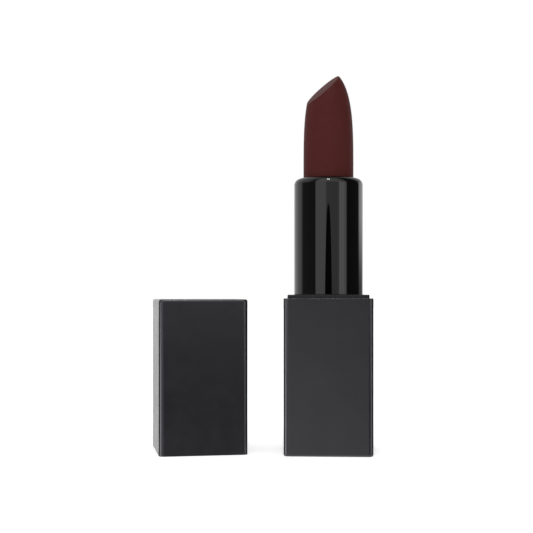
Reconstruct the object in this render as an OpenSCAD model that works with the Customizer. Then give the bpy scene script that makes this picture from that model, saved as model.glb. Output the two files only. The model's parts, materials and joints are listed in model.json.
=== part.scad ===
// Square twist-up lipstick, open: the base stands with the tube and bullet
// raised, and the cap stands mouth down beside it. Millimetres, +Z up. The origin
// is the centre of the base's underside, and the twist axis is Z.

/* [Case] */
// Outside width and depth of the base and the cap
case_w = 21.4; // [21:0.1:27]
// Height of the base from its underside to the seam
base_h = 37.6; // [31:0.1:48]
// Height of the cap
cap_h = 37.4; // [31.5:0.1:48]
// Wall of the two outer shells
shell_wall = 0.9; // [0.6:0.05:1.1]
// Thickness of the base shell's floor
floor_t = 1.0; // [0.8:0.1:2]
// Thickness of the cap shell's top
cap_top_t = 1.2; // [0.8:0.1:2]
// Radius of the upright edges of both shells
upright_r = 1.15; // [0.5:0.05:1.4]
// Radius round the base's underside and the cap's top
edge_r = 0.5; // [0.2:0.05:0.8]
// Height of the square lip that stands above the seam
lip_h = 0.9; // [0.6:0.1:2]
// Chamfer round the top of that lip
lip_chamfer = 0.15; // [0.05:0.05:0.3]
// Gap between a shell and the moulding pressed into it
insert_gap = 0.05; // [0.02:0.01:0.1]
// Gap between the lip and the cap's liner when the case is closed
recess_gap = 0.1; // [0.05:0.05:0.3]

/* [Cap beside the base] */
// Sideways distance from the twist axis to the cap's axis
cap_away = 32.1; // [30:0.1:60]
// Turn of the standing cap about its own axis, in degrees
cap_turn = 13; // [0:1:45]

/* [Tube] */
// Length of the tube that stands above the lip
tube_out = 28.55; // [24:0.05:35]
// Wall of the tube
tube_wall = 0.4; // [0.3:0.05:0.6]
// Radius of the rounded shoulder at the tube's mouth
shoulder_r = 1.6; // [1:0.05:1.8]
// Radial gap between the bullet and the tube's mouth
mouth_gap = 0.35; // [0.2:0.05:0.6]
// Radial step from the showing tube down to its hidden skirt
skirt_step = 0.1; // [0.05:0.05:0.2]
// Height over which the tube swells by that step
skirt_taper = 0.6; // [0.6:0.1:2]
// Height of the swell's end above the lip
skirt_show = 0.1; // [0.05:0.05:0.3]
// Gap under the foot of the tube's skirt
skirt_clear = 0.2; // [0.1:0.05:0.5]
// Radial gap between the tube and the base insert's bore
tube_gap = 0.1; // [0.05:0.05:0.3]
// Radial gap between the tube and the cap liner's bore
cap_gap = 0.2; // [0.1:0.05:0.4]
// Space left above the tube's mouth in the closed cap
cap_headroom = 0.75; // [0.3:0.05:2]
// Chamfer at the mouth of the cap liner's bore
lead_in = 0.5; // [0.2:0.1:0.8]
// Thickness of the ceiling over the cap liner's bore
liner_ceiling = 1.2; // [0.8:0.1:2]

/* [Lipstick bullet] */
// Diameter of the bullet
bullet_d = 12.3; // [10:0.1:12.8]
// Height of the uncut nose above the tube's mouth, fully raised
bullet_out = 26.6; // [21:0.05:33]
// Length of the rounded nose, before its slanted cut
nose_len = 26.2; // [20:0.1:30]
// Fullness of the nose near its shoulder
nose_fullness = 3.75; // [2:0.05:4.5]
// Bluntness of the nose at its end
nose_bluntness = 2.0; // [1.7:0.05:3.2]
// Slope of the cut face where it crosses the axis, in degrees
slant_angle = 42.7; // [30:0.1:50]
// Turn of the cut face towards the front, in degrees
slant_turn = 25.3; // [0:0.1:45]
// Distance along the axis from the uncut nose's end to the cut face
slant_drop = 3.2; // [1.5:0.1:4.5]
// Radius to which the cut face is crowned
slant_crown_r = 200; // [60:10:400]
// How far the uncut nose sinks below the mouth when lowered
sink = 0.55; // [0.3:0.05:2]

/* [Twist mechanism] */
// Rise of the bullet for one full turn of the tube
lead = 20; // [16:0.5:30]
// Height of the carrier cup
carrier_h = 10; // [8:0.5:12]
// Gap from the fork's top down to the carrier's rim, fully raised
carrier_drop = 0.25; // [0.1:0.05:0.5]
// Wall of the carrier cup
carrier_wall = 0.4; // [0.3:0.05:0.5]
// Thickness of the carrier cup's floor
carrier_floor = 1.0; // [0.6:0.1:2]
// Diameter of the pouring hole in the carrier's floor
pour_d = 3.0; // [2:0.5:5]
// Diameter of the carrier's two lugs
lug_d = 2.0; // [1.6:0.1:2.4]
// Height of the lugs' centre above the carrier's underside
lug_up = 1.5; // [1.3:0.1:3]
// Wall of the fork's stem
fork_wall = 0.4; // [0.3:0.05:0.5]
// Wall of the cam sleeve
cam_wall = 0.9; // [0.7:0.05:1]
// Depth of the helical grooves in the cam sleeve
groove_depth = 0.5; // [0.4:0.05:0.55]
// Radial gap between one moving layer and the next
layer_gap = 0.1; // [0.05:0.01:0.15]
// Gap on each side of a lug in its slot
slot_gap = 0.15; // [0.1:0.05:0.3]
// Gap on each side of a lug in its groove
groove_gap = 0.2; // [0.15:0.05:0.3]
// Gap between the lugs' ends and the grooves' floor
lug_tip_gap = 0.2; // [0.15:0.01:0.25]
// Plain ring of the cam sleeve below its grooves
cam_foot = 1.8; // [1.2:0.1:3]
// Height of the bead that keeps the cam sleeve on the fork
bead_h = 0.6; // [0.4:0.1:1]
// Overhang of the bead over the cam sleeve
bead_reach = 0.3; // [0.2:0.05:0.5]
// Height of the fork's brake collar
collar_h = 2.6; // [2:0.1:4]
// Height of the brake ring in the collar
ring_h = 1.2; // [0.8:0.1:1.4]
// Depth of the brake ring's groove in the collar
ring_depth = 0.9; // [0.6:0.1:1.2]
// Radial gap between the brake ring and the tube
ring_gap = 0.03; // [0.02:0.01:0.06]
// Height of the fork's keyed foot
foot_h = 4.0; // [3:0.1:6]
// Radius of the fork's keyed foot
foot_r = 7.2; // [6.4:0.1:7.4]
// Width across the two flats of the keyed foot
foot_key = 11.6; // [9:0.1:12.6]
// Thickness of the mechanism's floors and of the walls round its cores
mech_floor = 1.5; // [1:0.1:2.5]

/* [Magnets, weight and label] */
// Diameter of the closing magnets
magnet_d = 3.0; // [2:0.1:3.6]
// Thickness of the closing magnets
magnet_t = 2.0; // [1:0.1:3]
// Plastic between a magnet and the closing face
magnet_skin = 0.4; // [0.2:0.1:1]
// Plastic between a magnet's well and the insert's sides
magnet_side = 0.5; // [0.4:0.05:0.8]
// Radial gap round a magnet in its well
magnet_gap = 0.05; // [0.02:0.01:0.1]
// Diameter of the steel weight in the base
weight_d = 16; // [12:0.1:17]
// Height of the steel weight in the base
weight_h = 8; // [5:0.1:9]
// Gap round the steel weight in its pocket
weight_gap = 0.05; // [0.02:0.01:0.1]
// Diameter of the blank shade label under the base
label_d = 14; // [10:0.5:17]
// Thickness of the shade label
label_t = 0.15; // [0.1:0.01:0.2]
// Height of the label's recess above the underside
label_recess = 0.2; // [0.2:0.05:0.4]
// Gap round the label in its recess
label_gap = 0.2; // [0.1:0.05:0.4]

/* [Hidden] */
CORNERS = 4;
$fn = 96;
// A small overrun, so that a cutter passes right through what it cuts
over = 0.5;

// Colours
case_colour = "#38373a";
moulding_colour = "#141416";
tube_colour = "#0c0c0e";
bullet_colour = "#4d2526";
mechanism_colour = "#d8d4cc";
ring_colour = "#2a2a2c";
steel_colour = "#a9abb0";
label_colour = "#c9c4bd";

// Half widths of the square parts
case_half = case_w / 2;
shell_half = case_half - shell_wall;
insert_half = shell_half - insert_gap;

// Radii of the round layers, from the bullet outwards
bullet_r = bullet_d / 2;
carrier_r = bullet_r + carrier_wall;
fork_in_r = carrier_r + layer_gap;
fork_r = fork_in_r + fork_wall;
cam_in_r = fork_r + layer_gap;
cam_r = cam_in_r + cam_wall;
tube_r = cam_r + tube_wall;
skirt_r = tube_r - skirt_step;
mouth_r = bullet_r + mouth_gap;
groove_r = cam_in_r + groove_depth;
lug_r = lug_d / 2;
lug_tip_r = groove_r - lug_tip_gap;
bead_r = cam_in_r + bead_reach;
collar_r = cam_r - layer_gap;
insert_bore_r = tube_r + tube_gap;
cap_bore_r = tube_r + cap_gap;

// Heights, with the bullet fully raised
lip_top = base_h + lip_h;
tube_top = lip_top + tube_out;
skirt_top = lip_top + skirt_show;
nose_top = tube_top + bullet_out;
travel = bullet_out + sink;
cam_top = tube_top - shoulder_r - bead_h;
fork_top = cam_top + layer_gap + bead_h;
carrier_top = fork_top - carrier_drop;
carrier_low = carrier_top - carrier_h;
lug_high = carrier_low + lug_up;
lug_low = lug_high - travel;
groove_low = lug_low - lug_r - groove_gap;
groove_high = lug_high + lug_r + groove_gap;
slot_low = lug_low - lug_r - slot_gap;
slot_high = lug_high + lug_r + slot_gap;
cam_low = groove_low - cam_foot;
collar_top = cam_low - layer_gap;
collar_low = collar_top - collar_h;
skirt_low = collar_low + skirt_clear;
ring_low = (skirt_low + collar_top - ring_h) / 2;
foot_low = collar_low - foot_h;
weight_top = floor_t + weight_h;
recess = lip_h + recess_gap;
cap_bore_end = tube_top - base_h + cap_headroom;
cap_inside = cap_h - cap_top_t;

// The magnets' places, one in each corner
magnet_r = magnet_d / 2;
well_r = magnet_r + magnet_gap;
magnet_at = insert_half - magnet_side - well_r;
base_magnet_low = lip_top - magnet_skin - magnet_t;
cap_magnet_low = recess + magnet_skin;

// A square of the given half width with four round corners
module round_square(half, r) {
    square([2 * half, 2 * (half - r)], center = true);
    square([2 * (half - r), 2 * half], center = true);
    for (x = [-1, 1], y = [-1, 1])
        translate([x * (half - r), y * (half - r)]) circle(r);
}

// A side view of a shell: square at its mouth, and rounded at its closed end
module side_outline(half, h, r) {
    translate([-half, r]) square([2 * half, h - r]);
    translate([-half + r, 0]) square([2 * (half - r), h]);
    for (x = [-1, 1])
        translate([x * (half - r), r]) circle(r);
}

// A solid square case with rounded upright edges and a rounded bottom
module rounded_case(half, h) {
    intersection() {
        linear_extrude(h) round_square(half, upright_r);
        rotate([90, 0, 0])
            linear_extrude(2 * half, center = true) side_outline(half, h, edge_r);
        rotate([90, 0, 90])
            linear_extrude(2 * half, center = true) side_outline(half, h, edge_r);
    }
}

// An open square shell that stands on its closed end
module open_shell(h, end_t) {
    difference() {
        rounded_case(case_half, h);
        translate([-shell_half, -shell_half, end_t])
            cube([2 * shell_half, 2 * shell_half, h]);
    }
}

// A square moulding that fills a shell between two heights
module square_block(low, high) {
    translate([-insert_half, -insert_half, low])
        cube([2 * insert_half, 2 * insert_half, high - low]);
}

// A slab across the case whose two top edges are chamfered, cut off at the lip's top
module lip_slab() {
    chamfer_low = lip_top - lip_chamfer;
    rotate([90, 0, 0])
        linear_extrude(case_w, center = true)
            polygon([
                [-insert_half, floor_t], [insert_half, floor_t],
                [insert_half, chamfer_low], [insert_half - lip_chamfer, lip_top],
                [-insert_half + lip_chamfer, lip_top], [-insert_half, chamfer_low]
            ]);
}

// A round column between two heights
module column(r, low, high) {
    translate([0, 0, low]) cylinder(r = r, h = high - low);
}

// Places a child at one corner's magnet
module at_corner(i) {
    rotate(360 / CORNERS * (i - 0.5))
        translate([magnet_at * sqrt(2), 0, 0])
            children();
}

// Puts the cap where it stands, mouth down, beside the base
module cap_place() {
    translate([-cap_away, 0, 0])
        rotate(cap_turn)
            children();
}

module base_shell() {
    color(case_colour)
        difference() {
            open_shell(base_h, floor_t);
            column(label_d / 2 + label_gap, -over, label_recess);
        }
}

module base_insert() {
    color(moulding_colour)
        difference() {
            intersection() {
                lip_slab();
                rotate(90) lip_slab();
            }
            column(insert_bore_r, collar_low, lip_top + over);
            keyed_column(foot_low, collar_low + over);
            column(foot_r - mech_floor, floor_t, foot_low - mech_floor);
            column(weight_d / 2 + weight_gap, floor_t - over, weight_top);
            for (i = [1:CORNERS])
                at_corner(i) column(well_r, floor_t - over, lip_top - magnet_skin);
        }
}

module base_weight() {
    color(steel_colour)
        column(weight_d / 2, floor_t, weight_top);
}

module shade_label() {
    color(label_colour)
        column(label_d / 2, label_recess - label_t, label_recess);
}

module base_magnet(i) {
    color(steel_colour)
        at_corner(i) column(magnet_r, base_magnet_low, base_magnet_low + magnet_t);
}

// A column with two flats, which keys the fork's foot in the base insert
module keyed_column(low, high) {
    intersection() {
        column(foot_r, low, high);
        translate([-foot_key / 2, -foot_r, low])
            cube([foot_key, 2 * foot_r, high - low]);
    }
}

module inner_fork() {
    color(mechanism_colour)
        difference() {
            union() {
                keyed_column(foot_low, collar_low);
                column(collar_r, collar_low, collar_top);
                column(fork_r, collar_top, fork_top);
                column(bead_r, fork_top - bead_h, fork_top);
            }
            column(fork_in_r, slot_low - mech_floor, fork_top + over);
            column(foot_key / 2 - mech_floor, foot_low - over, collar_low);
            translate([-bead_r - over, -lug_r - slot_gap, slot_low])
                cube([2 * (bead_r + over), 2 * (lug_r + slot_gap), slot_high - slot_low]);
            ring_band(collar_r + over);
        }
}

// The square-section band from the floor of the collar's groove out to a radius
module ring_band(out_r) {
    rotate_extrude()
        translate([collar_r - ring_depth, ring_low])
            square([out_r - collar_r + ring_depth, ring_h]);
}

module brake_ring() {
    color(ring_colour)
        ring_band(cam_r - ring_gap);
}

// Half the section of a column whose top is rounded to a radius
module domed_section(r, top, round_r) {
    square([r, top - round_r]);
    square([r - round_r, top]);
    translate([r - round_r, top - round_r]) circle(round_r);
}

module tube_shell() {
    color(tube_colour)
        rotate_extrude()
            difference() {
                domed_section(tube_r, tube_top, shoulder_r);
                domed_section(cam_r, tube_top - tube_wall, shoulder_r - tube_wall);
                square([mouth_r, tube_top + over]);
                square([tube_r + over, skirt_low]);
                polygon([
                    [skirt_r, 0], [tube_r + over, 0], [tube_r + over, skirt_top],
                    [tube_r, skirt_top], [skirt_r, skirt_top - skirt_taper]
                ]);
            }
}

// The level section of one helical groove: a sector as wide as the sloping
// groove is when it is cut level
module groove_section() {
    mean_r = (cam_in_r + groove_r) / 2;
    slope = atan(lead / (2 * PI * mean_r));
    half_angle = (lug_r + groove_gap) / sin(slope) / mean_r * 180 / PI;
    steps = 5;
    polygon(concat(
        [for (i = [0:steps]) let (a = -half_angle + 2 * half_angle * i / steps)
            [groove_r * cos(a), groove_r * sin(a)]],
        [for (s = [1, -1]) [fork_in_r * cos(s * half_angle), fork_in_r * sin(s * half_angle)]]
    ));
}

// Two grooves that climb one lead for each turn, and meet the lugs when raised
module helical_grooves() {
    h = groove_high - groove_low;
    turn = 360 * h / lead;
    degrees_per_slice = 10;
    for (side = [0, 180])
        translate([0, 0, groove_low])
            rotate(side - 360 * (lug_high - groove_low) / lead)
                linear_extrude(h, twist = -turn, slices = ceil(turn / degrees_per_slice), segments = 1)
                    groove_section();
}

module cam_sleeve() {
    color(mechanism_colour)
        difference() {
            column(cam_r, cam_low, cam_top);
            column(cam_in_r, cam_low - over, cam_top + over);
            helical_grooves();
        }
}

module carrier() {
    color(mechanism_colour)
        difference() {
            union() {
                column(carrier_r, carrier_low, carrier_top);
                translate([0, 0, lug_high])
                    rotate([0, 90, 0])
                        cylinder(r = lug_r, h = 2 * lug_tip_r, center = true);
            }
            column(bullet_r, carrier_low + carrier_floor, carrier_top + over);
            column(pour_d / 2, carrier_low - over, carrier_top);
        }
}

// Radius of the nose at a height h above its shoulder
function nose_r(h) = bullet_r * pow(1 - pow(h / nose_len, nose_fullness), 1 / nose_bluntness);

module bullet() {
    steps = 28;
    shoulder = nose_top - nose_len;
    low = carrier_low + carrier_floor;
    color(bullet_colour)
        intersection() {
            rotate_extrude()
                polygon(concat(
                    [[0, low], [bullet_r, low]],
                    [for (i = [0:steps]) let (h = nose_len * sin(90 * i / steps))
                        [i == steps ? 0 : nose_r(h), shoulder + h]]
                ));
            rotate(slant_turn)
                translate([
                    slant_crown_r * sin(slant_angle),
                    0,
                    nose_top - slant_drop - slant_crown_r * cos(slant_angle)
                ])
                    sphere(r = slant_crown_r);
        }
}

module cap_shell() {
    color(case_colour)
        cap_place()
            translate([0, 0, cap_h])
                mirror([0, 0, 1])
                    open_shell(cap_h, cap_top_t);
}

module cap_liner() {
    color(moulding_colour)
        cap_place()
            difference() {
                square_block(recess, cap_inside);
                column(cap_bore_r, recess - over, cap_bore_end);
                translate([0, 0, recess - lead_in])
                    cylinder(r1 = cap_bore_r + 2 * lead_in, r2 = cap_bore_r, h = 2 * lead_in);
                column(cap_bore_r, cap_bore_end + liner_ceiling, cap_h + cap_bore_end);
                for (i = [1:CORNERS])
                    at_corner(i) column(well_r, cap_magnet_low, cap_h);
            }
}

module cap_magnet(i) {
    color(steel_colour)
        cap_place()
            at_corner(i) column(magnet_r, cap_magnet_low, cap_magnet_low + magnet_t);
}

base_shell();
base_insert();
base_weight();
shade_label();
inner_fork();
brake_ring();
tube_shell();
cam_sleeve();
carrier();
bullet();
cap_shell();
cap_liner();
for (i = [1:CORNERS]) {
    base_magnet(i);
    cap_magnet(i);
}
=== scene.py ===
import json
import math

import bpy
import numpy as np
from bpy.props import FloatProperty, FloatVectorProperty, PointerProperty
from bpy.types import Operator, Panel, PropertyGroup
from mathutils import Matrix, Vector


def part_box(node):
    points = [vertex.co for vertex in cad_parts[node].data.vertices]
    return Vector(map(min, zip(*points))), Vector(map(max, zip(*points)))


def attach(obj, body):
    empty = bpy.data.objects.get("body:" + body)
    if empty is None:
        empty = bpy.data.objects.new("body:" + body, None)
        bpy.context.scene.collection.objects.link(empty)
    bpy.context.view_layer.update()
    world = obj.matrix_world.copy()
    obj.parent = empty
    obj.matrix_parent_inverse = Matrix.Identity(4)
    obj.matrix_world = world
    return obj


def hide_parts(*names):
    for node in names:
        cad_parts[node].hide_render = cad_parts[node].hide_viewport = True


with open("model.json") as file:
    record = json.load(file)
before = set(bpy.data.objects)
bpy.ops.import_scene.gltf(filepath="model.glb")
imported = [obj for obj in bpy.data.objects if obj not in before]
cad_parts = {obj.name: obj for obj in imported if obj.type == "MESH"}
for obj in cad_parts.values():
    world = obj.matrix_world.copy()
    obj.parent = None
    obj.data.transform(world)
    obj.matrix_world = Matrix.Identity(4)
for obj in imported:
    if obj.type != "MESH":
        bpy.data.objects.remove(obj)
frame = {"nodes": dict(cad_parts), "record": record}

bl_info = {
    "name": "Twist-up lipstick",
    "version": (1, 0, 0),
    "blender": (4, 5, 0),
    "location": "3D View > Sidebar > Lipstick",
    "description": "Builds the looks of a square twist-up lipstick round its CAD frame",
    "category": "Add Mesh",
}

MM = 0.001


# --- Sizes that come from the frame, in millimetres ---------------------------


def node_box(node):
    """Lowest and highest corner of a CAD node, in millimetres."""
    low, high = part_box(node)
    return np.array(low) / MM, np.array(high) / MM


def mount_place(name):
    """Where a mount of the record stands, in millimetres."""
    for mount in frame["record"]["mounts"]:
        if mount["name"] == name:
            return np.array(mount["pos_m"]) / MM
    raise KeyError(name)


BASE_LOW, BASE_HIGH = node_box("base_shell")
INSERT_LOW, INSERT_HIGH = node_box("base_insert")
CAP_LOW, CAP_HIGH = node_box("cap_shell")
LINER_HIGH = node_box("cap_liner")[1]
TUBE_LOW, TUBE_HIGH = node_box("tube_shell")
CAM_LOW, CAM_HIGH = node_box("cam_sleeve")
BULLET_LOW, BULLET_HIGH = node_box("bullet")
LABEL_LOW, LABEL_HIGH = node_box("shade_label")
CASE_HALF = (BASE_HIGH[0] - BASE_LOW[0]) / 2
INSERT_HALF = (INSERT_HIGH[0] - INSERT_LOW[0]) / 2
TUBE_R = (TUBE_HIGH[0] - TUBE_LOW[0]) / 2
CAM_R = (CAM_HIGH[0] - CAM_LOW[0]) / 2
BULLET_R = (BULLET_HIGH[0] - BULLET_LOW[0]) / 2
LABEL_R = (LABEL_HIGH[0] - LABEL_LOW[0]) / 2
CAP_AXIS = mount_place("cap_bore")

# How finely the shells are divided: along a side, round an upright edge, round the
# bottom edge and over the rim
SIDE_STEPS, CORNER_STEPS, EDGE_STEPS, RIM_STEPS = 24, 16, 8, 5
# The tube: round its axis, over the shoulder, round the mouth and under the shoulder
TUBE_COLUMNS, SHOULDER_STEPS, MOUTH_STEPS, INNER_STEPS = 288, 20, 12, 12
# The bullet: round its axis, round the foot, up the side, over the cut's edge and in
# across the cut
BULLET_COLUMNS, FOOT_STEPS, CLIMB_STEPS, BEND_STEPS, CROSS_STEPS = 224, 4, 80, 12, 14
# How often an interval is halved to find the cut's edge
HALVINGS = 40


# --- Numbers, colours and meshes ----------------------------------------------


def linear(hex_colour):
    """Turns an sRGB hex colour into linear red, green and blue."""
    parts = [int(hex_colour[i:i + 2], 16) / 255 for i in (1, 3, 5)]
    return tuple(c / 12.92 if c <= 0.04045 else ((c + 0.055) / 1.055) ** 2.4 for c in parts)


def grid_mesh(name, points, ring=False):
    """Makes a closed mesh from a grid of points in millimetres, rows by columns.

    Columns always close round. With ring, the last row also joins the first, as on
    a tube's wall. Without it, the first and last row are each one point, a pole.
    Each square of the grid is one face, which looks outwards where the rows climb
    outside and the columns run anticlockwise.
    """
    rows, columns = points.shape[:2]
    nearby = np.arange(columns)
    beside = (nearby + 1) % columns
    if ring:
        vertices = points.reshape(-1, 3)
        low = np.arange(rows)[:, None] * columns
        high = (np.arange(rows)[:, None] + 1) % rows * columns
        fans = []
    else:
        vertices = np.vstack([points[1:-1].reshape(-1, 3), points[0, :1], points[-1, :1]])
        low = np.arange(rows - 3)[:, None] * columns
        high = low + columns
        first_pole = (rows - 2) * columns
        last_ring = (rows - 3) * columns
        bottom = np.full(columns, first_pole)
        top = np.full(columns, first_pole + 1)
        fans = np.stack([bottom, beside, nearby], axis=1).tolist()
        fans += np.stack([last_ring + nearby, last_ring + beside, top], axis=1).tolist()
    squares = np.stack([low + nearby, low + beside, high + beside, high + nearby], axis=-1)
    mesh = bpy.data.meshes.new(name)
    mesh.from_pydata((vertices * MM).tolist(), [], squares.reshape(-1, 4).tolist() + fans)
    mesh.polygons.foreach_set("use_smooth", np.ones(len(mesh.polygons), dtype=bool))
    mesh.update()
    mesh.validate()
    return mesh


def add_piece(name, mesh, material, body, slot, *nodes):
    """Adds a mesh as a piece that rides on a body, and hides the nodes it stands for."""
    piece = bpy.data.objects.new(name, mesh)
    bpy.context.scene.collection.objects.link(piece)
    mesh.materials.append(material)
    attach(piece, body)
    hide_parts(*nodes)
    return piece


def finish_node(node, material):
    """Gives a CAD node that stays in view its material, in all of its slots."""
    piece = frame["nodes"][node]
    if not piece.data.materials:
        piece.data.materials.append(material)
    for i in range(len(piece.data.materials)):
        piece.data.materials[i] = material


def arc(centre, radius, start, stop, steps):
    """Points on a circular arc, from one angle to another in degrees, ends included."""
    angle = np.radians(np.linspace(start, stop, steps + 1))
    return np.stack([centre[0] + radius * np.cos(angle), centre[1] + radius * np.sin(angle)], axis=1)


# --- Surfaces -----------------------------------------------------------------


def straight(start, stop, guard):
    """A straight stretch of a profile, with a point close to each of its ends.

    The close points keep the shading of the stretch flat up to its corners.
    """
    start, stop = np.array(start, dtype=float), np.array(stop, dtype=float)
    run = np.linalg.norm(stop - start)
    near = min(guard / run, 1 / 3)
    share = np.array([0, near, 1 - near, 1])[:, None]
    return start + share * (stop - start)


def square_columns(corner_share):
    """The columns of a square with round corners, as two vectors each.

    The outline is the corners of a smaller square, each carrying a quarter circle.
    So a point on it is (half - corner) times one vector plus corner times another.
    Along a side the first vector slides and the second looks straight out, and in a
    corner the first stays and the second turns. A third vector gives the column's
    direction from the middle, for rows that are circles. The outermost columns of a
    side stand close to the corners, which keeps its shading flat.
    """
    close = 0.996
    slide = np.concatenate([[-close], np.linspace(-1, 1, SIDE_STEPS + 1)[1:-1], [close]])
    side = np.stack([np.ones_like(slide), np.tan(slide * math.pi / 4)], axis=1)
    corner = arc((0, 0), 1.0, 0, 90, CORNER_STEPS)
    place = np.vstack([side, np.ones_like(corner)])
    facing = np.vstack([np.tile([1.0, 0.0], (len(side), 1)), corner])
    quarter = np.array([[0.0, 1.0], [-1.0, 0.0]])
    turns = [np.linalg.matrix_power(quarter, i) for i in range(4)]
    place = np.vstack([place @ turn for turn in turns])
    facing = np.vstack([facing @ turn for turn in turns])
    direction = (1 - corner_share) * place + corner_share * facing
    direction /= np.linalg.norm(direction, axis=1)[:, None]
    return place, facing, direction


def shell_surface(height, end_wall, looks, recess_r=0.0, recess_depth=0.0):
    """An open square shell that stands on its closed end.

    The profile starts under the middle of the closed end, runs out across a round
    label recess if there is one, round the bottom edge, up the outer wall, over the
    rim, down the inner wall and across the inside to the middle. Every row is a
    square of some half width and corner size, or a circle, at one height. Across the
    rim the corner size goes evenly from the outside's to the inside's.
    """
    edge = looks.edge_radius / MM
    rim = looks.rim_radius / MM
    guard = looks.guard / MM
    upright = looks.upright_edge / MM
    inner = INSERT_HALF + looks.insert_gap / MM
    inner_corner = looks.inner_corner / MM
    place, facing, direction = square_columns(upright / CASE_HALF)
    circles = []
    flat_start = CASE_HALF / 2
    if recess_r > 0:
        circles = [
            (recess_r / 2, recess_depth), (recess_r - guard, recess_depth),
            (recess_r, recess_depth), (recess_r, recess_depth - guard),
            (recess_r, guard), (recess_r, 0.0), (recess_r + guard, 0.0),
        ]
        flat_start = recess_r + edge
    start_level = circles[0][1] if circles else 0.0
    small = upright - edge
    squares = [(flat_start, inner_corner, 0.0), (CASE_HALF - edge - guard, small - guard, 0.0)]
    squares += [
        (CASE_HALF - edge + out, small + out, z)
        for out, z in arc((0, edge), edge, -90, 0, EDGE_STEPS)
    ]
    squares += [(CASE_HALF, upright, z) for z in (edge + guard, height / 2, height - rim - guard)]
    squares += [
        (CASE_HALF - rim + out, upright - rim + out, z)
        for out, z in arc((0, height - rim), rim, 0, 90, RIM_STEPS)
    ]
    inside = np.vstack([
        straight((CASE_HALF - rim - guard, height), (inner, height), guard),
        straight((inner, height), (inner, end_wall), guard)[1:],
        straight((inner, end_wall), (inner / 2, end_wall), guard)[1:],
    ])
    corners = np.interp(inside[:, 0], [inner, inside[0, 0]], [inner_corner, upright - rim - guard])
    squares = np.vstack([squares, np.column_stack([inside[:, 0], corners, inside[:, 1]])])
    half, corner, level = squares.T
    flat = (half - corner)[:, None, None] * place + corner[:, None, None] * facing
    rows = [np.concatenate([flat, np.broadcast_to(level[:, None, None], flat.shape[:2] + (1,))], axis=2)]
    if circles:
        reach, level = np.array(circles).T
        flat = reach[:, None, None] * direction
        level = np.broadcast_to(level[:, None, None], flat.shape[:2] + (1,))
        rows.insert(0, np.concatenate([flat, level], axis=2))
    columns = len(place)
    rows.insert(0, np.tile([0.0, 0.0, start_level], (1, columns, 1)))
    rows.append(np.tile([0.0, 0.0, end_wall], (1, columns, 1)))
    return np.concatenate(rows)


def turned(points, turn):
    """Turns points about Z, anticlockwise from above."""
    across = np.array([
        [math.cos(turn), math.sin(turn), 0.0],
        [-math.sin(turn), math.cos(turn), 0.0],
        [0.0, 0.0, 1.0],
    ])
    return points @ across


def stand_on_rim(points, height, centre, turn):
    """Tips a shell over onto its rim, turns it about its own axis and puts it in place.

    Half a turn about X swaps up for down and front for back, so the faces still
    look outwards.
    """
    tipped = points * np.array([1.0, -1.0, -1.0]) + np.array([0.0, 0.0, height])
    return turned(tipped, turn) + np.array([centre[0], centre[1], 0.0])


def cap_turn(edge):
    """How far the standing cap is turned, from the width of its box.

    A rounded square of half width h and corner radius r that is turned by a is
    (h - r)(cos a + sin a) + r from its middle to its outermost point.
    """
    reach = (CAP_HIGH[0] - CAP_LOW[0]) / 2
    share = (reach - edge) / (CASE_HALF - edge) / math.sqrt(2)
    return math.pi / 4 - math.acos(min(1.0, share))


def lathe_surface(profile, steps):
    """A profile of radius and height carried once round Z on a circle."""
    angle = np.linspace(0, 2 * math.pi, steps, endpoint=False)
    reach, level = profile.T
    return np.stack([
        reach[:, None] * np.cos(angle),
        reach[:, None] * np.sin(angle),
        np.broadcast_to(level[:, None], (len(level), steps)),
    ], axis=2)


def tube_profile(looks):
    """The section of the tube's wall, anticlockwise from the foot of its skirt.

    It climbs the skirt and the showing wall, turns in over a quarter circle, rolls
    over the mouth's small round edge and comes back down inside at the wall's
    thickness.
    """
    shoulder = looks.shoulder_radius / MM
    wall = TUBE_R - CAM_R
    guard = looks.guard / MM
    bead = wall / 2
    foot, top = TUBE_LOW[2], TUBE_HIGH[2]
    show = INSERT_HIGH[2] + looks.skirt_show / MM
    skirt_r = TUBE_R - looks.skirt_step / MM
    skirt_top = show - looks.skirt_taper / MM
    turn_r = TUBE_R - shoulder
    bend = top - shoulder
    mouth_r = BULLET_R + looks.mouth_gap / MM + bead
    return np.vstack([
        straight((skirt_r, foot), (skirt_r, skirt_top), guard),
        straight((skirt_r, skirt_top), (TUBE_R, show), guard)[1:],
        straight((TUBE_R, show), (TUBE_R, bend), guard)[1:],
        arc((turn_r, bend), shoulder, 0, 90, SHOULDER_STEPS)[1:],
        arc((mouth_r, top - bead), bead, 90, 270, MOUTH_STEPS),
        arc((turn_r, bend), shoulder - wall, 90, 0, INNER_STEPS),
        straight((CAM_R, bend), (CAM_R, foot), guard)[1:],
        straight((CAM_R, foot), (skirt_r, foot), guard)[1:-1],
    ])


def nose_radius(z, looks, top):
    """The bullet's radius at a height: constant, then a full, blunt curve to a point.

    On the nose it is R (1 - s^p)^(1/q), where s is the share of the nose climbed.
    """
    length = looks.nose_length / MM
    share = np.clip((z - top + length) / length, 0, 1)
    return BULLET_R * np.clip(1 - share ** looks.fullness, 1e-9, 1) ** (1 / looks.bluntness)


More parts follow.
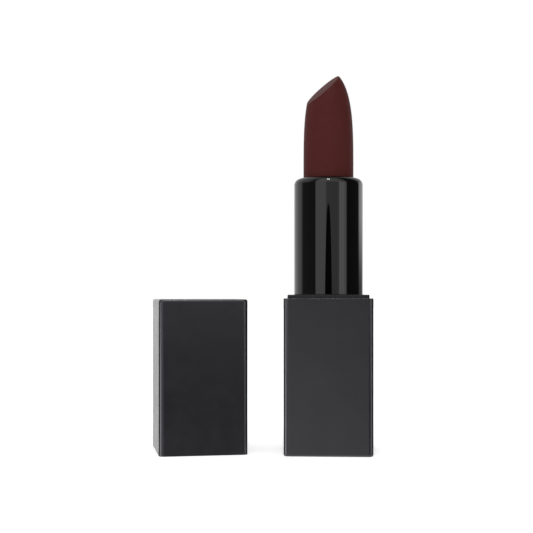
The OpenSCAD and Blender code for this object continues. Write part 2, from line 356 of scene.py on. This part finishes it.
def bullet_surface(looks):
    """The bullet: a round nose cut across by a slanted face that is gently crowned.

    Columns go round the axis. The cut is part of a large ball, so in each column the
    height where the nose meets it is found by halving an interval. Rows climb from
    the middle of the foot to just short of that edge, follow a parabola that rounds
    the edge off, and cross the face to its middle. The rounding is wider on the
    flanks than at the tip and the shoulder. At last the whole bullet is turned.
    """
    columns = BULLET_COLUMNS
    angle = np.linspace(0, 2 * math.pi, columns, endpoint=False)
    across = np.stack([np.cos(angle), np.sin(angle)], axis=1)
    top = TUBE_HIGH[2] + looks.nose_over_tube / MM
    ball_r = looks.crown_radius / MM
    ball_x = ball_r * math.sin(looks.slant)
    ball_z = top - looks.slant_drop / MM - ball_r * math.cos(looks.slant)

    def face_height(flat):
        """Height of the ball that makes the cut, over points in plan."""
        return ball_z + np.sqrt(ball_r ** 2 - (flat[..., 0] - ball_x) ** 2 - flat[..., 1] ** 2)

    def side_point(level):
        """Points on the uncut nose, one for each column, at these heights."""
        flat = nose_radius(level, looks, top)[..., None] * across
        return np.concatenate([flat, level[..., None]], axis=-1)

    under = np.full(columns, top - looks.nose_length / MM)
    over = np.full(columns, top)
    for _ in range(HALVINGS):
        middle = (under + over) / 2
        inside = face_height(side_point(middle)[:, :2]) > middle
        under = np.where(inside, middle, under)
        over = np.where(inside, over, middle)
    edge_level = under
    edge = side_point(edge_level)

    flank = np.sin(angle) ** 2
    rounding = looks.tip_rounding / MM + (looks.flank_rounding - looks.tip_rounding) / MM * flank
    nudge = 0.01
    slope = (nose_radius(edge_level, looks, top) - nose_radius(edge_level - nudge, looks, top)) / nudge
    side_end_level = edge_level - rounding / np.sqrt(1 + slope ** 2)
    side_end = side_point(side_end_level)
    middle_x = (edge[:, 0].max() + edge[:, 0].min()) / 2
    middle = np.array([middle_x, 0.0])
    inward = middle - edge[:, :2]
    reach = np.linalg.norm(inward, axis=1)
    face_start_flat = edge[:, :2] + inward * (rounding / reach)[:, None]
    face_start = np.concatenate([face_start_flat, face_height(face_start_flat)[:, None]], axis=1)

    foot = BULLET_LOW[2]
    foot_round = looks.foot_rounding / MM
    foot_arc = arc((BULLET_R - foot_round, foot + foot_round), foot_round, -90, 0, FOOT_STEPS)
    foot_rows = lathe_surface(np.vstack([[[BULLET_R / 2, foot]], foot_arc]), columns)
    climb = np.linspace(0, 1, CLIMB_STEPS + 1)[1:, None]
    side_level = foot + foot_round + climb * (side_end_level - foot - foot_round)
    side_rows = side_point(side_level)
    bend = np.linspace(0, 1, BEND_STEPS + 1)[1:, None, None]
    edge_rows = (1 - bend) ** 2 * side_end + 2 * bend * (1 - bend) * edge + bend ** 2 * face_start
    cross = np.linspace(0, 1, CROSS_STEPS + 1)[1:-1, None, None]
    face_flat = face_start_flat + cross * (middle - face_start_flat)
    face_rows = np.concatenate([face_flat, face_height(face_flat)[..., None]], axis=2)
    foot_pole = np.tile([0.0, 0.0, foot], (1, columns, 1))
    face_pole = np.tile([middle_x, 0.0, float(face_height(middle))], (1, columns, 1))
    rows = np.concatenate([foot_pole, foot_rows, side_rows, edge_rows, face_rows, face_pole])
    return turned(rows, looks.slant_turn)


# --- Materials ----------------------------------------------------------------


def add_node(tree, kind, settings=(), **sockets):
    """Adds a node, sets its own settings, and sets or links its input sockets.

    Sockets are given by name with _ for a space, or as i and their number. A value
    that is an output socket is linked, and any other is set.
    """
    node = tree.nodes.new(kind)
    for key, value in dict(settings).items():
        setattr(node, key, value)
    for key, value in sockets.items():
        socket = node.inputs[int(key[1:]) if key[1:].isdigit() else key.replace("_", " ")]
        if isinstance(value, bpy.types.NodeSocket):
            tree.links.new(value, socket)
        else:
            socket.default_value = value
    return node


def blobs(size_mm, detail, roughness=0.5):
    """The sockets of a noise whose blobs are about this many millimetres across."""
    return {"Scale": 1 / (size_mm * MM), "Detail": detail, "Roughness": roughness}


def shaded(colour, share):
    """A colour made darker or lighter by a share, with its full alpha."""
    return tuple(min(1.0, c * share) for c in colour) + (1.0,)


# Nearly all of a noise lies between these two values
NOISE_LOW, NOISE_HIGH = 0.3, 0.7


def surface(name, colour, patterns, shade, gloss, relief=None, **sockets):
    """Makes a material out of named noises on Object coordinates.

    shade names a noise and gives the two shares of the colour that it runs between.
    gloss names one and gives the two roughnesses, and relief names one and gives its
    depth in millimetres. The shader's other sockets are given by name.
    """
    material = bpy.data.materials.new(name)
    material.use_nodes = True
    tree = material.node_tree
    tree.nodes.clear()
    place = add_node(tree, "ShaderNodeTexCoord").outputs["Object"]
    noises = {}
    for pattern, size in patterns.items():
        noise = add_node(tree, "ShaderNodeTexNoise", {"noise_dimensions": "3D"}, Vector=place, **size)
        noises[pattern] = noise.outputs["Fac"]
    spread = []
    for pattern, low, high in ((shade[0], 0.0, 1.0), gloss):
        spread.append(add_node(
            tree, "ShaderNodeMapRange", {}, Value=noises[pattern],
            From_Min=NOISE_LOW, From_Max=NOISE_HIGH, To_Min=low, To_Max=high,
        ).outputs["Result"])
    base = add_node(
        tree, "ShaderNodeMix", {"data_type": "RGBA"},
        Factor=spread[0], A=shaded(colour, shade[1]), B=shaded(colour, shade[2]),
    )
    if relief:
        pattern, depth_mm = relief
        bump = add_node(
            tree, "ShaderNodeBump", {}, Height=noises[pattern], Distance=depth_mm * MM, Strength=1.0,
        )
        sockets["Normal"] = bump.outputs["Normal"]
    shader = add_node(
        tree, "ShaderNodeBsdfPrincipled", {},
        Base_Color=base.outputs["Result"], Roughness=spread[1], **sockets,
    )
    add_node(tree, "ShaderNodeOutputMaterial", {}, Surface=shader.outputs["BSDF"])
    return material


def satin_lacquer(colour):
    """Charcoal metallic lacquer baked on drawn aluminium: a soft satin sheen that
    darkens and lightens with what stands round it, a fine powdery tooth, and faint
    handling marks that only change the gloss."""
    return surface(
        "charcoal_satin_lacquer", colour,
        {"tooth": blobs(0.12, 3.0), "cloud": blobs(9.0, 3.0), "marks": blobs(3.5, 5.0, 0.65)},
        shade=("cloud", 0.96, 1.04), gloss=("marks", 0.22, 0.25), relief=("tooth", 0.0015),
        Metallic=1.0,
    )


def black_moulding(colour):
    """Injection-moulded black ABS: a deep black, semi-gloss, with the slight ripple
    that a polished mould leaves."""
    return surface(
        "black_moulded_abs", colour, {"ripple": blobs(0.8, 2.0), "flow": blobs(6.0, 3.0)},
        shade=("flow", 0.85, 1.15), gloss=("ripple", 0.24, 0.30), relief=("ripple", 0.0006),
        IOR=1.53,
    )


def piano_lacquer(colour):
    """High-gloss black lacquer on aluminium: mirror-like stripes of light and dark
    with crisp sides, kept from perfect by a very shallow orange peel."""
    return surface(
        "high_gloss_black_lacquer", colour, {"peel": blobs(1.6, 1.0), "haze": blobs(5.0, 4.0)},
        shade=("haze", 0.9, 1.1), gloss=("haze", 0.02, 0.03), relief=("peel", 0.0003),
        IOR=1.5,
    )


def lipstick_wax(colour):
    """Moulded lipstick: oils and wax with a brownish red pigment. It is velvety, with
    a soft sheen, a little light inside, and the fine tooth of its mould. Red light
    goes deepest into it."""
    return surface(
        "moulded_lipstick_wax", colour, {"tooth": blobs(0.18, 3.0), "pigment": blobs(2.2, 4.0, 0.6)},
        shade=("pigment", 0.95, 1.05), gloss=("pigment", 0.46, 0.52), relief=("tooth", 0.003),
        IOR=1.3, Specular_IOR_Level=0.1,
        Subsurface_Weight=0.15, Subsurface_Radius=(1.0, 0.3, 0.2), Subsurface_Scale=0.6 * MM,
    )


def natural_acetal(colour):
    """Moulded natural acetal: a slightly waxy off-white that slides without grease."""
    return surface(
        "natural_acetal", colour, {"flow": blobs(3.0, 3.0)},
        shade=("flow", 0.96, 1.02), gloss=("flow", 0.36, 0.44), relief=("flow", 0.002),
        IOR=1.48, Subsurface_Weight=0.2, Subsurface_Scale=0.4 * MM,
    )


def silicone_rubber(colour):
    """Dark silicone rubber: dull, with a fine bloom on its skin."""
    return surface(
        "dark_silicone_rubber", colour, {"bloom": blobs(0.3, 4.0)},
        shade=("bloom", 0.9, 1.15), gloss=("bloom", 0.55, 0.7), relief=("bloom", 0.004),
        IOR=1.41,
    )


def nickel_plate(colour):
    """Nickel plate over a sintered magnet: a warm, bright metal, faintly pitted."""
    return surface(
        "nickel_plate", colour, {"pits": blobs(0.15, 4.0)},
        shade=("pits", 0.92, 1.03), gloss=("pits", 0.16, 0.26), relief=("pits", 0.003),
        Metallic=1.0,
    )


def matt_paper(colour):
    """Uncoated label paper: matt, with short fibres that mottle it."""
    return surface(
        "matt_label_paper", colour, {"fibres": blobs(0.25, 6.0, 0.7)},
        shade=("fibres", 0.93, 1.04), gloss=("fibres", 0.8, 0.92), relief=("fibres", 0.006),
        IOR=1.5,
    )


def turned_steel(colour):
    """Turned mild steel: rings from the lathe tool, which stretch its reflections.
    They are drawn about 2 mm apart, coarser than real ones, so that they show."""
    ring_mm = 0.6 * math.pi
    radians_a_unit = 20
    dark, light, smooth, rough, depth_mm = 0.9, 1.05, 0.25, 0.35, 0.004
    material = bpy.data.materials.new("turned_steel")
    material.use_nodes = True
    tree = material.node_tree
    tree.nodes.clear()
    place = add_node(tree, "ShaderNodeTexCoord").outputs["Object"]
    settings = {"wave_type": "RINGS", "rings_direction": "Z", "wave_profile": "SIN"}
    scale = math.tau / (radians_a_unit * ring_mm * MM)
    wave = add_node(
        tree, "ShaderNodeTexWave", settings, Vector=place, Scale=scale, Distortion=0.4, Detail=2.0,
    )
    rings = wave.outputs["Fac"]
    base = add_node(
        tree, "ShaderNodeMix", {"data_type": "RGBA"},
        Factor=rings, A=shaded(colour, dark), B=shaded(colour, light),
    )
    gloss = add_node(
        tree, "ShaderNodeMapRange", {}, Value=rings,
        From_Min=NOISE_LOW, From_Max=NOISE_HIGH, To_Min=smooth, To_Max=rough,
    )
    bump = add_node(tree, "ShaderNodeBump", {}, Height=rings, Distance=depth_mm * MM, Strength=1.0)
    shader = add_node(
        tree, "ShaderNodeBsdfPrincipled", {},
        Base_Color=base.outputs["Result"], Metallic=1.0, Roughness=gloss.outputs["Result"],
        Normal=bump.outputs["Normal"],
    )
    add_node(tree, "ShaderNodeOutputMaterial", {}, Surface=shader.outputs["BSDF"])
    return material


def pale_floor(colour):
    """A sheet of pale seamless paper, lit so that it nearly burns out. It shows only
    from above, and it throws no light back up, so the lipstick is lit by the studio
    alone."""
    material = surface(
        "pale_seamless_paper", colour, {"fibres": blobs(1.5, 4.0)},
        shade=("fibres", 0.99, 1.0), gloss=("fibres", 0.85, 0.95),
        Specular_IOR_Level=0.1, Emission_Color=shaded(linear("#ffffff"), 1.0), Emission_Strength=FLOOR_GLOW,
    )
    tree = material.node_tree
    output = tree.get_output_node("ALL")
    paper = output.inputs["Surface"].links[0].from_socket
    seen = add_node(tree, "ShaderNodeLightPath").outputs["Is Camera Ray"]
    below = add_node(tree, "ShaderNodeNewGeometry").outputs["Backfacing"]
    above = add_node(tree, "ShaderNodeMath", {"operation": "SUBTRACT"}, i0=1.0, i1=below).outputs[0]
    shows = add_node(tree, "ShaderNodeMath", {"operation": "MULTIPLY"}, i0=seen, i1=above).outputs[0]
    clear = add_node(tree, "ShaderNodeBsdfTransparent").outputs["BSDF"]
    mix = add_node(tree, "ShaderNodeMixShader", {}, Fac=shows, i1=clear, i2=paper)
    tree.links.new(mix.outputs["Shader"], output.inputs["Surface"])
    return material


# --- What a user can change ---------------------------------------------------


def length(name, description, millimetres):
    """A length property, given in millimetres and held in metres."""
    return FloatProperty(
        name=name, description=description, default=millimetres * MM, min=0.0, unit="LENGTH", precision=5,
    )


def paint(name, description, hex_colour):
    """A colour property, given as an sRGB hex colour."""
    return FloatVectorProperty(
        name=name, description=description, default=linear(hex_colour), min=0.0, max=1.0, subtype="COLOR",
    )


class LipstickCaseLooks(PropertyGroup):
    """The two square shells and the mouldings inside them."""
    edge_radius: length("Edge radius", "Radius round the underside and the cap's top", 0.5)
    upright_edge: length("Upright edge", "Radius of the shells' upright edges", 1.15)
    rim_radius: length("Rim radius", "Radius of the outer edge at the seam", 0.06)
    guard: length("Guard", "How near a round edge the flat beside it starts", 0.04)
    insert_gap: length("Insert gap", "Gap between a shell and its moulding", 0.05)
    inner_corner: length("Inner corner", "Radius of the shells' inside corners", 0.1)
    label_gap: length("Label gap", "Gap round the label in its recess", 0.2)
    shell_colour: paint("Shell colour", "Charcoal lacquer of the shells", "#4e4d50")
    moulding_colour: paint("Moulding colour", "Black moulded plastic", "#0c0c0e")


class LipstickTubeLooks(PropertyGroup):
    """The round tube."""
    shoulder_radius: length("Shoulder radius", "Radius of the tube's rounded shoulder", 1.6)
    skirt_step: length("Skirt step", "Step in to the hidden skirt", 0.1)
    skirt_taper: length("Skirt taper", "Height over which the tube swells by that step", 0.6)
    skirt_show: length("Skirt show", "Height of the swell's end above the lip", 0.1)
    mouth_gap: length("Mouth gap", "Gap between the bullet and the mouth", 0.35)
    guard: length("Guard", "How near a round edge the straight wall starts", 0.04)
    colour: paint("Tube colour", "Gloss lacquer of the tube", "#060607")


class LipstickBulletLooks(PropertyGroup):
    """The lipstick bullet."""
    nose_over_tube: length("Nose height", "Height of the uncut nose over the tube", 26.6)
    nose_length: length("Nose length", "Length of the rounded nose, before the cut", 26.2)
    fullness: FloatProperty(
        name="Fullness", description="Fullness of the nose near its shoulder", default=3.75,
    )
    bluntness: FloatProperty(
        name="Bluntness", description="Bluntness of the nose at its end", default=2.0,
    )
    slant: FloatProperty(
        name="Slant", description="Slope of the cut face", default=math.radians(42.7), subtype="ANGLE",
    )
    slant_turn: FloatProperty(
        name="Slant turn", description="Turn of the cut face towards the front",
        default=math.radians(25.3), subtype="ANGLE",
    )
    slant_drop: length("Slant drop", "Distance from the uncut end to the face", 3.2)
    crown_radius: length("Crown radius", "Radius to which the cut face is crowned", 200.0)
    tip_rounding: length("Tip rounding", "How far the edge is rounded at the tip", 0.15)
    flank_rounding: length("Flank rounding", "How far the edge is rounded on the flanks", 0.4)
    foot_rounding: length("Foot rounding", "Radius of the bullet's hidden foot", 0.3)
    colour: paint("Bullet colour", "Brownish red of the lipstick", "#4c2321")


class LipstickInsideLooks(PropertyGroup):
    """The mechanism, the metal inside and the label."""
    acetal_colour: paint("Acetal colour", "Natural acetal of the mechanism", "#ddd8cf")
    silicone_colour: paint("Silicone colour", "The brake ring", "#242427")
    steel_colour: paint("Steel colour", "The turned weight", "#a9abb0")
    nickel_colour: paint("Nickel colour", "The plated magnets", "#d2cdc4")
    label_colour: paint("Label colour", "The blank label", "#cfcac2")


class LipstickStageLooks(PropertyGroup):
    """Floor, light and camera."""
    floor_size: length("Floor size", "Half the width of the pale floor", 3000.0)
    floor_colour: paint("Floor colour", "Pale paper under the lipstick", "#f7f7f7")
    camera_distance: length("Camera distance", "From the twist axis to the camera", 277.6)
    camera_height: length("Camera height", "Height of the camera", 38.6)
    camera_turn: FloatProperty(
        name="Camera turn", description="Turn to the left", default=math.radians(3.155), subtype="ANGLE",
    )
    view_rise: FloatProperty(
        name="View rise", description="Upward shift of the level view, in picture widths", default=0.0522,
    )
    lens: FloatProperty(name="Lens", description="Focal length in millimetres", default=75.9)


# --- Operators ----------------------------------------------------------------


class LIPSTICK_OT_case_shells(Operator):
    """Builds the base's and the cap's square shells"""
    bl_idname = "lipstick.case_shells"
    bl_label = "Case shells"

    def execute(self, context):
        looks = context.scene.lipstick_case
        material = satin_lacquer(tuple(looks.shell_colour))
        floor_wall = INSERT_LOW[2]
        recess_r = LABEL_R + looks.label_gap / MM
        base = shell_surface(BASE_HIGH[2], floor_wall, looks, recess_r, LABEL_HIGH[2])
        add_piece("base_case", grid_mesh("base_case", base), material, "base", "case_lacquer", "base_shell")
        height = CAP_HIGH[2] - CAP_LOW[2]
        cap = shell_surface(height, CAP_HIGH[2] - LINER_HIGH[2], looks)
        cap = stand_on_rim(cap, height, CAP_AXIS, cap_turn(looks.upright_edge / MM))
        add_piece("cap_case", grid_mesh("cap_case", cap), material, "cap", "case_lacquer", "cap_shell")
        return {"FINISHED"}


class LIPSTICK_OT_mouldings(Operator):
    """Finishes the black mouldings: the base insert and the cap's liner"""
    bl_idname = "lipstick.mouldings"
    bl_label = "Mouldings"

    def execute(self, context):
        material = black_moulding(tuple(context.scene.lipstick_case.moulding_colour))
        for node in ("base_insert", "cap_liner"):
            finish_node(node, material)
        return {"FINISHED"}


class LIPSTICK_OT_tube(Operator):
    """Builds the glossy tube with its rounded mouth"""
    bl_idname = "lipstick.tube"
    bl_label = "Tube"

    def execute(self, context):
        looks = context.scene.lipstick_tube
        mesh = grid_mesh("gloss_tube", lathe_surface(tube_profile(looks), TUBE_COLUMNS), ring=True)
        material = piano_lacquer(tuple(looks.colour))
        add_piece("gloss_tube", mesh, material, "tube", "tube_gloss", "tube_shell")
        return {"FINISHED"}


class LIPSTICK_OT_bullet(Operator):
    """Builds the slant-cut bullet"""
    bl_idname = "lipstick.bullet"
    bl_label = "Bullet"

    def execute(self, context):
        looks = context.scene.lipstick_bullet
        mesh = grid_mesh("wax_bullet", bullet_surface(looks))
        material = lipstick_wax(tuple(looks.colour))
        add_piece("wax_bullet", mesh, material, "carrier", "lipstick_wax", "bullet")
        return {"FINISHED"}


class LIPSTICK_OT_inside(Operator):
    """Finishes the mechanism, the weight, the magnets and the label"""
    bl_idname = "lipstick.inside"
    bl_label = "Inside pieces"

    def execute(self, context):
        looks = context.scene.lipstick_inside
        acetal = natural_acetal(tuple(looks.acetal_colour))
        for node in ("inner_fork", "cam_sleeve", "carrier"):
            finish_node(node, acetal)
        finish_node("brake_ring", silicone_rubber(tuple(looks.silicone_colour)))
        finish_node("base_weight", turned_steel(tuple(looks.steel_colour)))
        finish_node("shade_label", matt_paper(tuple(looks.label_colour)))
        nickel = nickel_plate(tuple(looks.nickel_colour))
        for node in frame["nodes"]:
            if "magnet" in node:
                finish_node(node, nickel)
        return {"FINISHED"}


# Light round the lipstick, as (azimuth in degrees, brightness). Azimuth 0 is towards
# the viewer and 90 to the right. Level with the tube stand two panels in front, with
# dark boards beside them, and the pale backdrop closes the ring behind.
LEVEL_LIGHT = (
    (-180, 0.95), (-144, 0.95), (-119, 0.85), (-104, 0.80), (-99, 0.45), (-94, 0.13), (-45, 0.10),
    (-42, 1.22), (-10, 1.22), (-6, 0.65), (24, 0.62), (34, 0.65), (38, 1.90), (44, 1.55), (50, 1.75),
    (56, 1.30), (61, 1.20), (64, 0.05), (119, 0.05), (125, 1.50), (150, 1.00), (180, 0.95),
)
# The same for what stands below that band
LOW_LIGHT = (
    (-180, 1.60), (-162, 1.60), (-157, 0.02), (-90, 0.02), (-86, 2.80), (-48, 2.80), (-44, 0.20),
    (-20, 0.35), (-8, 0.80), (0, 0.55), (9, 0.18), (14, 0.03), (28, 0.03), (54, 0.03), (58, 1.50),
    (84, 1.50), (88, 0.02), (130, 0.02), (140, 0.40), (155, 0.60), (180, 1.60),
)
# And for what stands above it
HIGH_LIGHT = (
    (-180, 0.80), (-150, 0.80), (-135, 0.75), (-75, 0.75), (-60, 0.20), (-46, 0.20), (-42, 1.30),
    (-10, 1.30), (24, 1.10), (36, 1.10), (61, 0.60), (64, 0.05), (119, 0.05), (125, 0.60),
    (150, 0.60), (180, 0.80),
)
CEILING_LIGHT = 0.5
TABLE_LIGHT = 1.0
FLOOR_GLOW = 0.5
BRIGHTEST = 3.0
# The front panels' inner edges lean together, so the dark gap between them, where the
# viewer stands, narrows upwards to a point. Degrees, but for the power of its curve.
GAP_HALF, GAP_CLOSES, GAP_EDGE, GAP_POWER = 12.0, 4.6, 0.8, 0.33
# How the light in a direction is worked out, as a name, what is done, and to what. RING
# looks a ring up, EASED climbs smoothly from 0 to 1 between two values, MIXED goes from
# one light to another by a share, CLAMPED keeps to 0 to 1, and the rest is plain sums.
LIGHT_STEPS = (
    ("to_viewer", "MULTIPLY", "y", -1.0),
    ("turn", "ARCTAN2", "x", "to_viewer"),
    ("azimuth", "DEGREES", "turn"),
    ("climb", "ARCSINE", "z"),
    ("elevation", "DEGREES", "climb"),
    ("from_behind", "ADD", "azimuth", 180.0),
    ("share", "DIVIDE", "from_behind", 360.0),
    ("level_ring", "RING", "share", LEVEL_LIGHT),
    ("low_ring", "RING", "share", LOW_LIGHT),
    ("high_ring", "RING", "share", HIGH_LIGHT),
    # The gap between the front panels
    ("climbed", "DIVIDE", "elevation", GAP_CLOSES),
    ("left_open", "SUBTRACT CLAMPED", 1.0, "climbed"),
    ("leaning", "POWER", "left_open", GAP_POWER),
    ("half_gap", "MULTIPLY", "leaning", GAP_HALF),
    ("off_middle", "ABSOLUTE", "azimuth"),
    ("within_gap", "SUBTRACT", "half_gap", "off_middle"),
    ("gap", "DIVIDE CLAMPED", "within_gap", GAP_EDGE),
    ("past_gap", "SUBTRACT", 1.0, "gap"),
    ("panels", "MULTIPLY", "level_ring", "past_gap"),
    # The backdrop fades near the table, behind on the right
    ("fade_begins", "EASED", "azimuth", 112.0, 119.0),
    ("fade_ends", "EASED", "azimuth", 145.0, 165.0),
    ("fade_stays", "SUBTRACT", 1.0, "fade_ends"),
    ("fade_width", "MULTIPLY", "fade_begins", "fade_stays"),
    ("fade_top", "EASED", "elevation", 0.0, 4.4),
    ("fade_height", "SUBTRACT", 1.0, "fade_top"),
    ("fade_area", "MULTIPLY", "fade_width", "fade_height"),
    ("fade", "MULTIPLY", "fade_area", 0.8),
    ("past_fade", "SUBTRACT", 1.0, "fade"),
    ("level", "MULTIPLY", "panels", "past_fade"),
    # From the table up to the ceiling
    ("off_table", "EASED", "elevation", -20.0, -7.0),
    ("below", "MIXED", "off_table", TABLE_LIGHT, "low_ring"),
    ("off_low", "EASED", "elevation", -1.0, 0.0),
    ("lower", "MIXED", "off_low", "below", "level"),
    ("off_level", "EASED", "elevation", 12.0, 20.0),
    ("upper", "MIXED", "off_level", "lower", "high_ring"),
    ("off_high", "EASED", "elevation", 65.0, 80.0),
    ("light", "MIXED", "off_high", "upper", CEILING_LIGHT),
)
# Linear red, green, blue and alpha
PANEL_WHITE = (0.99, 0.99, 1.0, 1.0)
PLAIN_WHITE = (1.0, 1.0, 1.0, 1.0)
# Full-frame sensor width, which the lens is given for
SENSOR_MM = 36.0
# The softbox over the front: width and depth in metres, watts, place and tilt
SOFTBOX_SIZE = (0.05, 0.03)
SOFTBOX_POWER = 0.35
SOFTBOX_PLACE = (0.0, -0.20, 0.42)
SOFTBOX_TILT = math.radians(30)


def studio_world(scene):
    """Soft light all round, which the camera itself sees as plain white.

    It follows LIGHT_STEPS: each step adds a node, and a value that names an earlier
    step is linked to it.
    """
    world = bpy.data.worlds.new("soft_studio")
    scene.world = world
    world.use_nodes = True
    tree = world.node_tree
    tree.nodes.clear()
    direction = add_node(tree, "ShaderNodeTexCoord").outputs["Generated"]
    known = dict(zip("xyz", add_node(tree, "ShaderNodeSeparateXYZ", {}, Vector=direction).outputs))
    for name, work, *values in LIGHT_STEPS:
        values = [known.get(value, value) for value in values]
        sockets = {f"i{i}": value for i, value in enumerate(values)}
        if work == "RING":
            ramp = add_node(tree, "ShaderNodeValToRGB", {}, Fac=values[0])
            stops = ramp.color_ramp.elements
            while len(stops) < len(values[1]):
                stops.new(1.0)
            for stop, (degrees, brightness) in zip(stops, values[1]):
                stop.position = (degrees + 180) / 360
                stop.color = (brightness / BRIGHTEST,) * 3 + (1,)
            sockets = {"i0": ramp.outputs["Color"], "i1": BRIGHTEST}
            node = add_node(tree, "ShaderNodeMath", {"operation": "MULTIPLY"}, **sockets)
        elif work == "EASED":
            sockets = dict(zip(("Value", "From_Min", "From_Max"), values))
            node = add_node(tree, "ShaderNodeMapRange", {"interpolation_type": "SMOOTHSTEP"}, **sockets)
        elif work == "MIXED":
            node = add_node(tree, "ShaderNodeMix", {}, **dict(zip(("Factor", "A", "B"), values)))
        else:
            operation, *clamped = work.split()
            settings = {"operation": operation, "use_clamp": bool(clamped)}
            node = add_node(tree, "ShaderNodeMath", settings, **sockets)
        known[name] = node.outputs[0]
    seen = add_node(tree, "ShaderNodeLightPath").outputs["Is Camera Ray"]
    lit = add_node(tree, "ShaderNodeBackground", {}, Strength=known["light"], Color=PANEL_WHITE)
    plain = add_node(tree, "ShaderNodeBackground", {}, Strength=1.0, Color=PLAIN_WHITE)
    mix = add_node(tree, "ShaderNodeMixShader", {}, Fac=seen, i1=lit.outputs[0], i2=plain.outputs[0])
    add_node(tree, "ShaderNodeOutputWorld", {}, Surface=mix.outputs[0])


class LIPSTICK_OT_stage(Operator):
    """Sets up the pale floor, the soft studio light and the camera"""
    bl_idname = "lipstick.stage"
    bl_label = "Stage"

    def execute(self, context):
        scene = context.scene
        looks = scene.lipstick_stage
        reach = looks.floor_size
        mesh = bpy.data.meshes.new("pale_floor")
        corners = [(-reach, -reach, 0), (reach, -reach, 0), (reach, reach, 0), (-reach, reach, 0)]
        mesh.from_pydata(corners, [], [(0, 1, 2, 3)])
        floor = bpy.data.objects.new("pale_floor", mesh)
        scene.collection.objects.link(floor)
        mesh.materials.append(pale_floor(tuple(looks.floor_colour)))
        studio_world(scene)
        lamp = bpy.data.lights.new("ceiling_softbox", "AREA")
        lamp.shape = "RECTANGLE"
        lamp.size, lamp.size_y = SOFTBOX_SIZE
        lamp.energy = SOFTBOX_POWER
        softbox = bpy.data.objects.new("ceiling_softbox", lamp)
        softbox.location = SOFTBOX_PLACE
        softbox.rotation_euler = (SOFTBOX_TILT, 0, 0)
        scene.collection.objects.link(softbox)
        lens = bpy.data.cameras.new("product_camera")
        lens.lens = looks.lens
        lens.sensor_width = SENSOR_MM
        lens.shift_y = looks.view_rise
        camera = bpy.data.objects.new("product_camera", lens)
        camera.location = (0.0, -looks.camera_distance, looks.camera_height)
        camera.rotation_euler = (math.pi / 2, 0, looks.camera_turn)
        scene.collection.objects.link(camera)
        scene.camera = camera
        scene.view_settings.view_transform = "Standard"
        scene.view_settings.look = "None"
        return {"FINISHED"}


class LIPSTICK_PT_panel(Panel):
    """Lists the steps that build the lipstick"""
    bl_label = "Lipstick"
    bl_idname = "LIPSTICK_PT_panel"
    bl_space_type = "VIEW_3D"
    bl_region_type = "UI"
    bl_category = "Lipstick"

    def draw(self, context):
        for step in STEPS:
            self.layout.operator(step.bl_idname)


STEPS = (
    LIPSTICK_OT_case_shells,
    LIPSTICK_OT_mouldings,
    LIPSTICK_OT_tube,
    LIPSTICK_OT_bullet,
    LIPSTICK_OT_inside,
    LIPSTICK_OT_stage,
)
LOOKS = {
    "lipstick_case": LipstickCaseLooks,
    "lipstick_tube": LipstickTubeLooks,
    "lipstick_bullet": LipstickBulletLooks,
    "lipstick_inside": LipstickInsideLooks,
    "lipstick_stage": LipstickStageLooks,
}


def register():
    """Registers the property groups, the operators and the panel."""
    for name, group in LOOKS.items():
        bpy.utils.register_class(group)
        setattr(bpy.types.Scene, name, PointerProperty(type=group))
    for step in STEPS:
        bpy.utils.register_class(step)
    bpy.utils.register_class(LIPSTICK_PT_panel)


def unregister():
    """Takes away all that register added."""
    bpy.utils.unregister_class(LIPSTICK_PT_panel)
    for step in reversed(STEPS):
        bpy.utils.unregister_class(step)
    for name, group in LOOKS.items():
        delattr(bpy.types.Scene, name)
        bpy.utils.unregister_class(group)


def main():
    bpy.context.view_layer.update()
    register()
    bpy.ops.lipstick.case_shells()
    bpy.ops.lipstick.mouldings()
    bpy.ops.lipstick.tube()
    bpy.ops.lipstick.bullet()
    bpy.ops.lipstick.inside()
    bpy.ops.lipstick.stage()
    bpy.context.view_layer.update()


if __name__ == "__main__":
    main()
